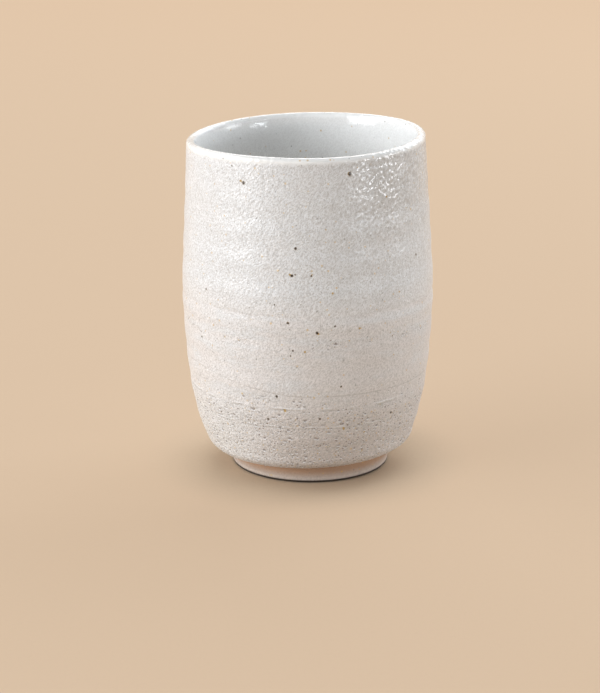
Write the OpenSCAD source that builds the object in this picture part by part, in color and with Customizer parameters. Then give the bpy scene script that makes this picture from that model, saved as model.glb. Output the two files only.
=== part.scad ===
// Tall tea cup without a handle, thrown on the wheel, turned at the foot and glazed in two dips.
// The origin is on the ground, on the axis. +Z is up. Lengths are in millimetres.

/* [Shape] */
// Height from the ground to the top of the lip
cup_h = 100; // [85:1:125]
// Outside diameter at the widest part of the belly
belly_d = 74.9; // [70:0.1:90]
// Height of the widest part of the belly
belly_z = 51.5; // [40:0.5:62]
// Outside diameter at the lip
rim_d = 70.4; // [62:0.1:80]
// Outside diameter at the hip, where the wall turns under
hip_d = 62.7; // [56:0.1:68]
// Height of the hip above the top of the foot
hip_rise = 4.4; // [4:0.1:9]
// Angle at which the underside climbs away from the foot
under_angle = 7; // [0:1:20]

/* [Wall and floor] */
// Thickness of the wall at the belly, with its glaze
wall_t = 3.6; // [3:0.1:5]
// Thickness of the lip, with its glaze
lip_t = 2.6; // [2.2:0.1:4]
// How far the lip turns out from the wall below it
lip_flare = 0.1; // [0:0.05:1]
// Height over which the lip turns out
lip_flare_h = 5; // [3:0.5:10]
// Thickness of the floor at the middle, with its glaze
floor_t = 4.6; // [4:0.1:8]
// Height and width of the round turn from the floor to the inside of the wall
floor_turn = 13; // [8:0.5:18]

/* [Foot] */
// Outside diameter of the foot at the ground
foot_d = 45.3; // [38:0.1:50]
// Height of the foot on the outside
foot_h = 5.6; // [3.5:0.1:7]
// Width of the foot ring where it stands on the ground
foot_w = 4.6; // [3:0.1:8]
// How much wider the foot is, on each side, where it meets the body
foot_flare = 0.45; // [0:0.05:1]
// Depth of the recess inside the foot, from the ground
recess_depth = 5.9; // [4.2:0.1:7]
// Width of the wiped bevel along both edges of the ground face
foot_bevel = 0.4; // [0.2:0.05:0.8]

/* [Glaze] */
// Thickness of the first coat, which covers the outside down to the foot
first_coat_t = 0.35; // [0.25:0.05:0.5]
// Thickness of the second coat, dipped from the rim
second_coat_t = 0.25; // [0.15:0.05:0.4]
// Height of the dip line, where the second coat ends
dip_z = 54.6; // [35:0.2:80]
// Height of the thick bead that the second coat leaves along the dip line
bead_h = 1.2; // [0.5:0.1:1.5]
// Bare clay left on the underside between the foot and the glaze
bare_w = 1.8; // [0.8:0.1:4]

/* [Throwing and turning marks] */
// Height from one throwing ring to the next
ring_pitch = 9; // [6:0.5:14]
// Depth of the throwing rings
ring_depth = 0.16; // [0:0.02:0.3]
// Width of the lines that the turning tool scored in the lower wall
line_w = 0.7; // [0.4:0.1:1.2]

/* [Hidden] */
$fn = 96;
// Longest step between two points of the outside wall, and of the inside wall
outside_step = 1.25;
inside_step = 2;
// How far a cut runs past the face that it opens
overrun = 0.5;
// Segments in the round of the lip, the hip and the floor's turn
lip_segments = 12;
hip_segments = 9;
bare_segments = 3;
turn_segments = 9;

// Bend of the wall from the belly up to the lip: 1 would be a straight cone
closing_power = 1.1;
// Below the belly a slow taper and a late tuck add up to the narrowing at the hip
taper_share = 0.39;
taper_power = 1.15;
tuck_power = 3.65;
// Bend of the wall's thinning towards the lip: a high power leaves it to the last few millimetres
thinning_power = 12;

// Glaze thickness at the worn lower edge of each coat, as a share of the coat
edge_share = 0.4;
// The bead along the dip line: height as a share of bead_h, then thickness as a share of the coat
bead_shares = [[0, 0.3], [0.4, 0.85], [1, 1.2], [2, 1.1], [3, 1]];
// Heights of the scored lines as shares of the cup's height, and their depth as one of the first coat
line_z_shares = [0.204, 0.263, 0.307];
line_depth_share = 0.6;

// The two outside coats meet the inside coat at the lip, so they are as thick together as it is
liner_t = first_coat_t + second_coat_t;
lip_r = lip_t/2;
lip_z = cup_h - lip_r;
lip_clay_r = lip_r - liner_t;
hip_z = foot_h + hip_rise;
// Radii of the clay under its glaze
belly_clay_r = belly_d/2 - first_coat_t;
rim_clay_r = rim_d/2 - liner_t;
hip_clay_r = hip_d/2 - first_coat_t;
foot_r = foot_d/2;
join_r = foot_r + foot_flare;
recess_r = foot_r - foot_w;
floor_z = recess_depth + floor_t - liner_t;
turn_z = floor_z + floor_turn;

function clamp01(x) = max(0, min(1, x));
function unit(v) = v/norm(v);
// Points of a curve that leaves a along a-b, arrives at c along b-c, and its direction
function curve(a, b, c, t) = (1 - t)*(1 - t)*a + 2*t*(1 - t)*b + t*t*c;
function curve_way(a, b, c, t) = (1 - t)*(b - a) + t*(c - b);
// Even steps from a to b, both included, none longer than step
function steps(a, b, step) = let (n = ceil(abs(b - a)/step)) [for (i = [0:n]) a + (b - a)*i/n];

// Outside of the clay wall at a height: the belly, less what it loses on the way up or down
function above_share(z) = clamp01((z - belly_z)/(lip_z - belly_z));
function below_share(z) = clamp01((belly_z - z)/(belly_z - hip_z));
function flare_share(z) = clamp01((z - lip_z + lip_flare_h)/lip_flare_h);
function closing(z) = (belly_clay_r - rim_clay_r + lip_flare)*pow(above_share(z), closing_power);
function tucking(z) = (belly_clay_r - hip_clay_r)
    * (taper_share*pow(below_share(z), taper_power) + (1 - taper_share)*pow(below_share(z), tuck_power));
function wall_r(z) = belly_clay_r - closing(z) - tucking(z) + lip_flare*pow(flare_share(z), 2);

// How fast that radius grows with height
function wall_slope(z) = lip_flare*2*flare_share(z)/lip_flare_h
    - (belly_clay_r - rim_clay_r + lip_flare)
        * closing_power*pow(above_share(z), closing_power - 1)/(lip_z - belly_z)
    + (belly_clay_r - hip_clay_r)/(belly_z - hip_z)
        * (taper_share*taper_power*pow(below_share(z), taper_power - 1)
            + (1 - taper_share)*tuck_power*pow(below_share(z), tuck_power - 1));

// Throwing rings: shallow hollows that fade out towards the hip and the lip
function ring_fade(z) = clamp01(min(z - hip_z, lip_z - lip_flare_h - z)/ring_pitch);
function ring_dip(z) = ring_depth/2*(1 - cos(360*(z - belly_z)/ring_pitch))*ring_fade(z);

// The underside and hip, as one curve from the foot's join to the hip
join_point = [join_r, foot_h];
hip_point = [hip_clay_r, hip_z];
under_rise = tan(under_angle);
tuck_drop = (hip_rise - under_rise*(hip_clay_r - join_r))/(1 - under_rise*wall_slope(hip_z));
hip_corner = hip_point - tuck_drop*[wall_slope(hip_z), 1];
// Share of that curve that stays bare
hip_width = 2*(hip_corner[0] - join_r);
bare_share = 2*bare_w/(hip_width + sqrt(pow(hip_width, 2) + 4*bare_w*(hip_clay_r - join_r - hip_width)));

// Each point of the outside is the clay's own surface plus a layer laid on it
function hip_at(t, layer) =
    let (way = unit(curve_way(join_point, hip_corner, hip_point, t)))
    curve(join_point, hip_corner, hip_point, t) + layer*[way[1], -way[0]];
function wall_at(z, layer) = [wall_r(z) - ring_dip(z), z] + layer*unit([1, -wall_slope(z)]);
function lip_at(angle, layer) =
    [rim_clay_r - lip_clay_r, lip_z] + (lip_clay_r + layer)*[cos(angle), sin(angle)];

bead_zs = [for (b = bead_shares) dip_z + bead_h*b[0]];
bead_top = bead_zs[len(bead_zs) - 1];
low_zs = [for (z = steps(hip_z, dip_z, outside_step)) if (z > hip_z && z < dip_z) z];
high_zs = [for (z = steps(bead_top, lip_z, outside_step)) if (z > bead_top && z < lip_z) z];
lip_angles = [for (i = [0:lip_segments]) 180*i/lip_segments];
bare_ts = [for (i = [0:bare_segments - 1]) bare_share*i/bare_segments];
hip_ts = [for (i = [0:hip_segments]) bare_share + (1 - bare_share)*i/hip_segments];

// Runs of points, each going up: bare underside, first coat's stretch, second coat's stretch
function bare_run() = [for (t = bare_ts) hip_at(t, 0)];
function low_run(layer, edge_layer) = concat(
    [for (t = hip_ts) hip_at(t, t == hip_ts[0] ? edge_layer : layer)],
    [for (z = low_zs) wall_at(z, layer)]);
function high_run(layer) = concat(
    [for (z = bead_zs) wall_at(z, layer)],
    [for (z = high_zs) wall_at(z, layer)],
    [for (angle = lip_angles) lip_at(angle, layer)]);
function beaded_run() = concat(
    [for (i = [0:len(bead_zs) - 1]) wall_at(bead_zs[i], first_coat_t + second_coat_t*bead_shares[i][1])],
    [for (z = high_zs) wall_at(z, liner_t)],
    [for (angle = lip_angles) lip_at(angle, liner_t)]);

// Inside of the clay: the wall thins towards the lip, and turns round into the floor
function clay_t(z) = lip_t + (wall_t - lip_t)*(1 - pow(above_share(z), thinning_power)) - 2*liner_t;
function inside_slope(z) = wall_slope(min(z, lip_z - lip_flare_h))
    + (wall_t - lip_t)*thinning_power*pow(above_share(z), thinning_power - 1)/(lip_z - belly_z);
function inside_at(z, layer) = [wall_r(z) - clay_t(z), z] + layer*unit([-1, inside_slope(z)]);
turn_top = inside_at(turn_z, 0);
turn_corner = turn_top - [inside_slope(turn_z)*floor_turn, floor_turn];
turn_end = turn_corner - [floor_turn, 0];
function turn_at(t, layer) =
    let (way = unit(curve_way(turn_top, turn_corner, turn_end, t)))
    curve(turn_top, turn_corner, turn_end, t) + layer*[way[1], -way[0]];
inside_zs = [for (z = steps(lip_z, turn_z, inside_step)) if (z < lip_z && z > turn_z) z];
// Going down from the lip to the middle of the floor, without the lip's own last point
function inside_run(layer) = concat(
    [for (z = inside_zs) inside_at(z, layer)],
    [for (i = [0:turn_segments]) turn_at(i/turn_segments, layer)],
    [[0, floor_z + layer]]);

function reversed(points) = [for (i = [len(points) - 1:-1:0]) points[i]];

module turned(points) {
    rotate_extrude() polygon(points);
}

// A band between two runs of points: the side against the clay and the side in the air
module coat(under, over) {
    turned(concat(under, reversed(over)));
}

// A ring with a V section, for one line of the turning tool
module scored_line(z) {
    depth = first_coat_t*line_depth_share;
    surface_r = wall_r(z) - ring_dip(z) + first_coat_t;
    half_w = line_w/2*(depth + overrun)/depth;
    turned([
        [surface_r - depth, z],
        [surface_r + overrun, z - half_w],
        [surface_r + overrun, z + half_w]
    ]);
}

// The thrown wall and floor, bare on the seat of the foot and in the recess
module clay_body() {
    color("#cdb9aa")
        turned(concat(
            [[0, recess_depth], [recess_r, recess_depth], [recess_r, foot_h]],
            bare_run(),
            low_run(0, 0),
            high_run(0),
            inside_run(0)));
}

// The foot ring under the floor, with its wiped edges
module foot_ring() {
    color("#c9b3a4")
        turned([
            [recess_r, foot_h],
            [recess_r, foot_bevel],
            [recess_r + foot_bevel, 0],
            [foot_r - foot_bevel, 0],
            [foot_r, foot_bevel],
            [join_r, foot_h]
        ]);
}

// The first coat, from the bare band under the hip up over the lip
module outer_glaze() {
    color("#e9e2dc")
        difference() {
            coat(
                concat(low_run(0, 0), high_run(0)),
                concat(low_run(first_coat_t, first_coat_t*edge_share), high_run(first_coat_t)));
            for (share = line_z_shares) {
                scored_line(cup_h*share);
            }
        }
}

// The second coat, from its bead at the dip line up over the lip
module rim_glaze() {
    color("#eef0f1")
        coat(high_run(first_coat_t), beaded_run());
}

// The glossy coat inside, which meets the outside coats at the lip
module inner_glaze() {
    color("#d9dedf")
        coat(
            concat([lip_at(180, 0)], inside_run(0)),
            concat([lip_at(180, liner_t)], inside_run(liner_t)));
}

foot_ring();
clay_body();
outer_glaze();
rim_glaze();
inner_glaze();
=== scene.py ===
"""Tall thrown tea cup: a turned foot, a clay body, two dipped coats of glaze outside and a liner inside.

Every piece is turned from one outline, which is the clay's own surface plus the layers laid on it, so the
pieces touch face to face. Lengths are in metres, in the frame of the packed model: +Z is up, the ground is
z = 0 and the cup's front is towards -Y. Angles round the cup are from the front, positive towards +X.
"""

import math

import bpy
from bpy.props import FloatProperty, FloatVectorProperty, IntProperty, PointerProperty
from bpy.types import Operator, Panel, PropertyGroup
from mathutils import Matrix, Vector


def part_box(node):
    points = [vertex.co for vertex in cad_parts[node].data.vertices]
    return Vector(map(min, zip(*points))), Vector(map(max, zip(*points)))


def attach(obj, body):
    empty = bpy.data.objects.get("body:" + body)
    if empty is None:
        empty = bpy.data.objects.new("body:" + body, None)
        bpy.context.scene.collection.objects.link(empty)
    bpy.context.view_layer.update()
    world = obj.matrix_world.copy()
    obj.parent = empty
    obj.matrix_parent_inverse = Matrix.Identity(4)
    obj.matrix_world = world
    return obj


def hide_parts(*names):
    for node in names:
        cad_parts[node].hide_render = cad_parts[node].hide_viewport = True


bl_info = {
    "name": "Thrown Tea Cup",
    "version": (1, 0, 0),
    "blender": (4, 5, 0),
    "location": "3D View > Sidebar > Tea Cup",
    "description": "Builds a tall thrown tea cup with its glazes, and a plain stage to show it on",
    "category": "Add Mesh",
}

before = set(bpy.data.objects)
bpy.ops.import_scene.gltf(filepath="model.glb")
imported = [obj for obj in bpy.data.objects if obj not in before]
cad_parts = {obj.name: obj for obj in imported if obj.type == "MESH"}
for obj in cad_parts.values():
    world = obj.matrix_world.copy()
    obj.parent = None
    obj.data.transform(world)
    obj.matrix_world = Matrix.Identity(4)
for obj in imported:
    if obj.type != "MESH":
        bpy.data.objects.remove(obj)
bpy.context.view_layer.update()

MM = 0.001
FOOT_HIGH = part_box("foot_ring")[1]
SECOND_LOW, SECOND_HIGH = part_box("rim_glaze")
LINER_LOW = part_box("inner_glaze")[0]
# The foot's outside stands this much further out than its node, in millimetres
FOOT_SPREAD = 0.9

# Settings: the sizes and colours that a user would change


def length(name, description, millimetres):
    """A length property, with its default given in millimetres."""
    return FloatProperty(
        name=name,
        description=description,
        default=millimetres * MM,
        min=0.0,
        precision=5,
        subtype="DISTANCE",
        unit="LENGTH",
    )


def colour(name, description, red, green, blue):
    """A linear colour property."""
    return FloatVectorProperty(
        name=name,
        description=description,
        default=(red, green, blue),
        min=0.0,
        max=1.0,
        size=3,
        subtype="COLOR",
    )


def steps(name, description, default):
    """A number of steps round the cup."""
    return IntProperty(name=name, description=description, default=default, min=24)


class TeaCupShape(PropertyGroup):
    """Sizes of the clay and its glaze"""

    cup_h: length("Height", "From the ground to the top of the lip", SECOND_HIGH.z / MM)
    belly_d: length("Belly diameter", "Outside diameter at the widest part", 74.9)
    belly_z: length("Belly height", "Height of the widest part", 51.5)
    rim_d: length("Rim diameter", "Outside diameter at the lip", 70.4)
    hip_d: length("Hip diameter", "Outside diameter where the wall turns under", 62.7)
    hip_rise: length("Hip rise", "Height of the hip above the top of the foot", 4.4)
    wall_t: length("Wall thickness", "At the belly, with its glaze", 3.6)
    lip_t: length("Lip thickness", "With its glaze", 2.6)
    lip_flare: length("Lip flare", "How far the lip turns out from the wall below it", 0.1)
    lip_flare_h: length("Flare height", "Height over which the lip turns out", 5.0)
    floor_z: length("Floor height", "Height of the clay floor inside", LINER_LOW.z / MM)
    floor_turn: length("Floor turn", "Height and width of the round turn at the floor", 13.0)
    foot_h: length("Foot height", "Height of the foot on the outside", FOOT_HIGH.z / MM)
    join_r: length("Join radius", "Radius where the foot meets the body", FOOT_HIGH.x / MM + FOOT_SPREAD)
    foot_flare: length("Foot flare", "How much wider the foot is there than at the ground", 0.45)
    foot_w: length("Foot width", "Width of the ring where it stands on the ground", 4.6 + FOOT_SPREAD)
    foot_bevel: length("Foot bevel", "Wiped edge along both sides of the ground face", 0.7)
    recess_depth: length("Recess depth", "From the ground to the bare clay inside the foot", 5.9)
    first_t: length("First coat", "Thickness of the first coat of glaze", 0.35)
    second_t: length("Second coat", "Thickness of the second coat of glaze", 0.25)
    dip_z: length("Dip line", "Height at which the second coat ends", SECOND_LOW.z / MM)
    bead_h: length("Bead height", "Height of the bead along the dip line", 1.2)
    bare_w: length("Bare band", "Bare clay between the foot and the glaze", 1.8 - FOOT_SPREAD)
    ring_pitch: length("Ring pitch", "Height from one throwing ring to the next", 9.0)
    ring_depth: length("Ring depth", "Depth of the throwing rings", 0.16)


class TeaCupHand(PropertyGroup):
    """What the hand leaves: the lean of the cup and the unevenness of its rim"""

    lean: FloatProperty(
        name="Lean",
        description="Angle by which the axis leans towards -X",
        default=math.radians(0.4),
        subtype="ANGLE",
        unit="ROTATION",
    )
    bow: length("Bow", "How far the middle of the axis bows towards +X", 0.3)
    foot_x: length("Foot to the right", "How far the foot stands off the axis towards +X", 0.68)
    foot_y: length("Foot to the back", "How far the foot stands off the axis towards +Y", -0.4)
    hip_tilt: length("Hip tilt", "How far the underside rises towards +X at the foot's edge", 0.65)
    rim_tilt: length("Rim tilt", "How far one side of the rim stands higher than level", 0.94)
    rim_saddle: length("Rim saddle", "Height of the rim's two high places", 0.22)
    rim_lobes: length("Rim lobes", "Height of the rim's three high places", 0.18)
    rim_oval: length("Rim oval", "How far the rim is out of round", 0.3)
    wall_waves: length("Wall waves", "Depth of the soft unevenness of the wall", 0.16)


class TeaCupColours(PropertyGroup):
    """Colours of clay, glaze and stage"""

    second_coat: colour("Second coat", "Cool white glaze over the upper body", 0.87, 0.89, 0.92)
    # The lip's white. Also used for painted light on the first coat's lower left and on the liner towards
    # its rim
    lip: colour("Lip", "The whitest glaze, on the lip", 0.94, 0.94, 0.93)
    first_coat: colour("First coat", "Thinner, warmer glaze over the lower body", 0.88, 0.85, 0.845)
    # The clay seen through thin glaze, and also the colour of painted shade on the first coat
    thin_glaze_and_shade: colour("Thin glaze", "Where the clay shows through the glaze", 0.58, 0.49, 0.44)
    liner: colour("Liner", "Pale glaze inside the cup", 0.94, 0.93, 0.90)
    clay: colour("Clay", "Fired bare clay", 0.50, 0.43, 0.38)
    # Warm from the kiln beside the glaze. Also used for painted shade under the body's overhang, a painted
    # shadow along the foot's lower edge, and the dark freckles
    flash_and_shade: colour("Flash", "Warm line that the kiln leaves beside the glaze", 0.40, 0.23, 0.13)
    iron: colour("Iron", "Iron specks that melted through the glaze", 0.022, 0.012, 0.008)
    ochre: colour("Ochre", "Halo of the iron, and the lighter specks", 0.46, 0.29, 0.06)
    shade: colour("Shade", "Grey in the hollows of the glaze", 0.42, 0.395, 0.37)
    floor: colour("Floor", "Plain floor as it lights the cup", 0.62, 0.48, 0.34)
    backdrop: colour("Backdrop", "The floor's glow in front of the camera", 0.775, 0.575, 0.405)


class TeaCupDetail(PropertyGroup):
    """Fineness of the meshes"""

    columns: steps("Columns", "Steps around the outside", 540)
    rim_columns: steps("Rim columns", "Steps around the second coat", 640)
    liner_columns: steps("Liner columns", "Steps around the inside", 430)
    clay_columns: steps("Clay columns", "Steps around the clay and the foot", 400)
    fine_row: length("Fine row", "Row height where the wall is pitted", 0.3)
    plain_row: length("Plain row", "Row height on the rest of the outside", 0.45)
    inside_row: length("Inside row", "Row height inside the cup", 0.6)
    hidden_row: length("Hidden row", "Row height where coats touch", 6.0)


# The turned outline

CLOSING_POWER = 1.1
TAPER_SHARE = 0.39
TAPER_POWER = 1.15
TUCK_POWER = 3.65
THINNING_POWER = 12
UNDER_ANGLE = math.radians(7)
SLOPE_STEP = 0.05 * MM
SAME_PLACE = 0.001 * MM
# The glaze's lower edge: its thickness there as a share, and how far up the underside it thickens
EDGE_SHARE = 0.4
EDGE_CLIMB = 0.12
# The bead along the dip line: how thin its edge is, how fast it thickens, and its swell and where that is
BEAD_EDGE = 0.7
BEAD_CLIMB = 1.6
BEAD_SWELL = 0.15
BEAD_MIDDLE = 1.5
# Heights below which the first coat's rows are fine, and rather fine
PITTED_TOP = 28 * MM
MARKED_TOP = 36 * MM
# Rows along the short curves, and the steps along curves where coats touch
BEVEL_ROWS = 6
BARE_ROWS = 7
LIP_ROWS = 16
UNDER_ROWS = 26
TURN_ROWS = 30
HIDDEN_TURN = 0.7
HIDDEN_SHARE = 0.15


def clamp(value):
    """The value kept between 0 and 1."""
    return max(0.0, min(1.0, value))


def spread(low, high, step):
    """Even steps from low to high, both included, none longer than step."""
    count = max(1, math.ceil(abs(high - low) / step - 1e-6))
    return [low + (high - low) * i / count for i in range(count + 1)]


def beside(point, way, layer):
    """The point moved by layer, square to the way and to its right."""
    return point + Vector((way.y, -way.x)).normalized() * layer


def curve(a, corner, c, share, layer):
    """A point on the curve from a to c that bends round a corner, moved to the right by layer."""
    point = a * (1 - share) ** 2 + corner * 2 * share * (1 - share) + c * share**2
    return beside(point, (corner - a) * (1 - share) + (c - corner) * share, layer)


class Outline:
    """The cup's half section as (radius, height): the clay's surface plus a layer of glaze."""

    def __init__(self, shape):
        self.shape = shape
        self.liner_t = shape.first_t + shape.second_t
        self.lip_z = shape.cup_h - shape.lip_t / 2
        self.lip_clay_r = shape.lip_t / 2 - self.liner_t
        self.hip_z = shape.foot_h + shape.hip_rise
        self.belly_clay_r = shape.belly_d / 2 - shape.first_t
        self.rim_clay_r = shape.rim_d / 2 - self.liner_t
        self.hip_clay_r = shape.hip_d / 2 - shape.first_t
        self.foot_r = shape.join_r - shape.foot_flare
        self.recess_r = self.foot_r - shape.foot_w
        self.turn_z = shape.floor_z + shape.floor_turn

        rise = math.tan(UNDER_ANGLE)
        slope = self.wall_slope(self.hip_z)
        drop = (shape.hip_rise - rise * (self.hip_clay_r - shape.join_r)) / (1 - rise * slope)
        self.join = Vector((shape.join_r, shape.foot_h))
        self.hip = Vector((self.hip_clay_r, self.hip_z))
        self.hip_corner = self.hip - Vector((slope, 1)) * drop
        width = 2 * (self.hip_corner.x - shape.join_r)
        bend = 4 * shape.bare_w * (self.hip_clay_r - shape.join_r - width)
        self.bare_share = 2 * shape.bare_w / (width + math.sqrt(width**2 + bend))

        self.turn_top = self.inside(self.turn_z, 0)
        below = self.inside(self.turn_z - SLOPE_STEP, 0)
        inward = (self.turn_top - below) / SLOPE_STEP
        self.turn_corner = self.turn_top - inward * shape.floor_turn
        self.turn_end = self.turn_corner - Vector((shape.floor_turn, 0))

    def above(self, z):
        """Share of the way from the belly up to the lip."""
        return clamp((z - self.shape.belly_z) / (self.lip_z - self.shape.belly_z))

    def below(self, z):
        """Share of the way from the belly down to the hip."""
        return clamp((self.shape.belly_z - z) / (self.shape.belly_z - self.hip_z))

    def wall_r(self, z):
        """Radius of the clay wall, without its throwing rings."""
        lip_flare = self.shape.lip_flare
        flare = clamp((z - self.lip_z) / self.shape.lip_flare_h + 1)
        closing = (self.belly_clay_r - self.rim_clay_r + lip_flare) * self.above(z) ** CLOSING_POWER
        taper = TAPER_SHARE * self.below(z) ** TAPER_POWER
        tuck = (1 - TAPER_SHARE) * self.below(z) ** TUCK_POWER
        tucking = (self.belly_clay_r - self.hip_clay_r) * (taper + tuck)
        return self.belly_clay_r - closing - tucking + lip_flare * flare**2

    def wall_slope(self, z):
        """How fast that radius grows with height."""
        return (self.wall_r(z + SLOPE_STEP) - self.wall_r(z - SLOPE_STEP)) / (2 * SLOPE_STEP)

    def ring_dip(self, z):
        """Throwing rings: shallow hollows that fade out towards the hip and the lip."""
        shape = self.shape
        fade = clamp(min(z - self.hip_z, self.lip_z - shape.lip_flare_h - z) / shape.ring_pitch)
        wave = math.cos(math.tau * (z - shape.belly_z) / shape.ring_pitch)
        return shape.ring_depth / 2 * (1 - wave) * fade

    def wall(self, z, layer):
        """Outside of the wall at a height."""
        slope = self.wall_slope(min(z, self.lip_z - SLOPE_STEP))
        return beside(Vector((self.wall_r(z) - self.ring_dip(z), z)), Vector((slope, 1)), layer)

    def under(self, share, layer):
        """The underside and hip, as one curve from the foot's join to the hip."""
        return curve(self.join, self.hip_corner, self.hip, share, layer)

    def lip(self, angle, layer):
        """The round of the lip, from 0 outside to pi inside."""
        middle = Vector((self.rim_clay_r - self.lip_clay_r, self.lip_z))
        return middle + Vector((math.cos(angle), math.sin(angle))) * (self.lip_clay_r + layer)

    def clay_t(self, z):
        """Thickness of the clay wall, which thins towards the lip."""
        shape = self.shape
        thinned = 1 - self.above(z) ** THINNING_POWER
        return shape.lip_t + (shape.wall_t - shape.lip_t) * thinned - 2 * self.liner_t

    def inside(self, z, layer):
        """Inside of the wall at a height."""

        def radius(height):
            return self.wall_r(height) - self.clay_t(height)

        slope = (radius(z) - radius(z - SLOPE_STEP)) / SLOPE_STEP
        return beside(Vector((radius(z), z)), Vector((-slope, -1)), layer)

    def turn(self, share, layer):
        """The round turn from the wall down to the floor."""
        return curve(self.turn_top, self.turn_corner, self.turn_end, share, layer)

    def bead(self, z):
        """Thickness of the second coat as a share: a rounded bead along the dip line, then even."""
        climb = (z - self.shape.dip_z) / self.shape.bead_h
        swell = BEAD_SWELL * math.exp(-((climb - BEAD_MIDDLE) ** 2))
        return 1 - BEAD_EDGE * math.exp(-BEAD_CLIMB * climb) + swell


def tagged(points, relief=0.0):
    """Outline points with the share of the surface relief that they take."""
    return [(point.x, point.y, relief) for point in points]


def foot_ring_run(line, detail):
    """The foot ring, from the inner top edge down, across the ground face and up the outside."""
    shape = line.shape
    row = detail.fine_row
    inner_low = Vector((line.recess_r, shape.foot_bevel))
    ground_in = Vector((line.recess_r + shape.foot_bevel, 0))
    ground_out = Vector((line.foot_r - shape.foot_bevel, 0))
    outer_low = Vector((line.foot_r, shape.foot_bevel))

    def rounded(a, corner_r, c):
        corner = Vector((corner_r, 0))
        return [curve(a, corner, c, i / BEVEL_ROWS, 0) for i in range(1, BEVEL_ROWS + 1)]

    down = [Vector((line.recess_r, z)) for z in spread(shape.foot_h, shape.foot_bevel, row)]
    across = [Vector((r, 0)) for r in spread(ground_in.x, ground_out.x, row)]
    up = [outer_low.lerp(line.join, s) for s in spread(0, 1, row / shape.foot_h)]
    points = tagged(down[:1]) + tagged(down[1:], 1.0)
    points += tagged(rounded(inner_low, line.recess_r, ground_in), 0.5)
    points += tagged(across[1:], 0.2)
    points += tagged(rounded(ground_out, line.foot_r, outer_low), 0.5)
    points += tagged(up[1:-1], 1.0) + tagged(up[-1:])
    return points


def clay_run(line, detail):
    """The clay body, from the middle of the recess out, up the outside, over the lip and down inside."""
    shape = line.shape
    row = detail.fine_row
    recess = [Vector((r, shape.recess_depth)) for r in spread(0, line.recess_r, row)]
    seat = [Vector((line.recess_r, shape.foot_h)), line.join]
    bare = [line.under(s, 0) for s in spread(0, line.bare_share, line.bare_share / BARE_ROWS)]
    hip = [line.under(s, 0) for s in spread(line.bare_share, 1, HIDDEN_SHARE)]
    wall = [line.wall(z, 0) for z in spread(line.hip_z, line.lip_z, detail.hidden_row)]
    lip = [line.lip(a, 0) for a in spread(0, math.pi, HIDDEN_TURN)]
    inside = [line.inside(z, 0) for z in spread(line.lip_z, line.turn_z, detail.hidden_row)]
    turn = [line.turn(s, 0) for s in spread(0, 1, HIDDEN_SHARE)]
    points = tagged(recess, 1.0) + tagged(seat)
    points += tagged(bare[1:], 1.0)
    points += tagged(hip[1:] + wall[1:] + lip[1:] + inside[1:] + turn[1:])
    return points + tagged([Vector((0, shape.floor_z))])


def first_coat_run(line, detail):
    """The first coat: up the outside in the air, on under the second coat, and back down on the clay."""
    shape = line.shape
    t = shape.first_t
    points = []
    for share in spread(line.bare_share, 1, (1 - line.bare_share) / UNDER_ROWS):
        climb = clamp((share - line.bare_share) / EDGE_CLIMB)
        eased = EDGE_SHARE + (1 - EDGE_SHARE) * math.sqrt(climb)
        points.append((*line.under(share, t * eased), climb))
    rows = spread(line.hip_z, PITTED_TOP, detail.fine_row)[1:]
    rows += spread(PITTED_TOP, MARKED_TOP, detail.fine_row * 1.3)[1:]
    rows += spread(MARKED_TOP, shape.dip_z, detail.plain_row * 1.2)[1:]
    points += [(*line.wall(z, t), clamp((shape.dip_z - z) / MM)) for z in rows]
    hidden = [line.wall(z, t) for z in spread(shape.dip_z, line.lip_z, detail.hidden_row)]
    hidden += [line.lip(a, t) for a in spread(0, math.pi, HIDDEN_TURN)][1:]
    back = [line.lip(a, 0) for a in spread(math.pi, 0, HIDDEN_TURN)]
    back += [line.wall(z, 0) for z in spread(line.lip_z, line.hip_z, detail.hidden_row)][1:]
    back += [line.under(s, 0) for s in spread(1, line.bare_share, 0.2)][1:]
    return points + tagged(hidden[1:] + back)


def second_coat_run(line, detail):
    """The second coat: from its bead up and over the lip in the air, and back down on the first coat."""
    shape = line.shape
    bead_top = shape.dip_z + 3 * shape.bead_h
    outer = []
    for z in spread(shape.dip_z, bead_top, detail.fine_row * 0.7):
        layer = shape.first_t + shape.second_t * line.bead(z)
        outer.append((*line.wall(z, layer), clamp((z - shape.dip_z) / MM)))
    for z in spread(bead_top, line.lip_z, detail.plain_row * 0.95)[1:]:
        outer.append((*line.wall(z, line.liner_t), 1.0))
    for angle in spread(0, math.pi, math.pi / LIP_ROWS)[1:]:
        outer.append((*line.lip(angle, line.liner_t), clamp((math.pi - angle) / 1.2)))
    back = [line.lip(a, shape.first_t) for a in spread(math.pi, 0, HIDDEN_TURN)]
    back += [line.wall(z, shape.first_t) for z in spread(line.lip_z, shape.dip_z, detail.hidden_row)][1:-1]
    return outer + tagged(back)


def liner_run(line, detail):
    """The liner: from the middle of the floor out and up to the lip in the air, and back on the clay."""
    shape = line.shape
    t = line.liner_t
    row = detail.inside_row
    middle = Vector((0, shape.floor_z + t))
    turn = [line.turn(s, t) for s in spread(1, 0, 1 / TURN_ROWS)]
    points = tagged([middle.lerp(turn[0], s) for s in spread(0, 1, row / turn[0].x)], 1.0)
    points += tagged(turn[1:], 1.0)
    for z in spread(line.turn_z, line.lip_z, row)[1:-1]:
        points.append((*line.inside(z, t), clamp((line.lip_z - z) / (2 * MM))))
    points += tagged([line.lip(math.pi, t), line.lip(math.pi, 0)])
    back = [line.inside(z, 0) for z in spread(line.lip_z, line.turn_z, detail.hidden_row)]
    back += [line.turn(s, 0) for s in spread(0, 1, HIDDEN_SHARE)][1:]
    return points + tagged(back[1:]) + tagged([Vector((0, shape.floor_z))])


# Node trees written as expressions


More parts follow.
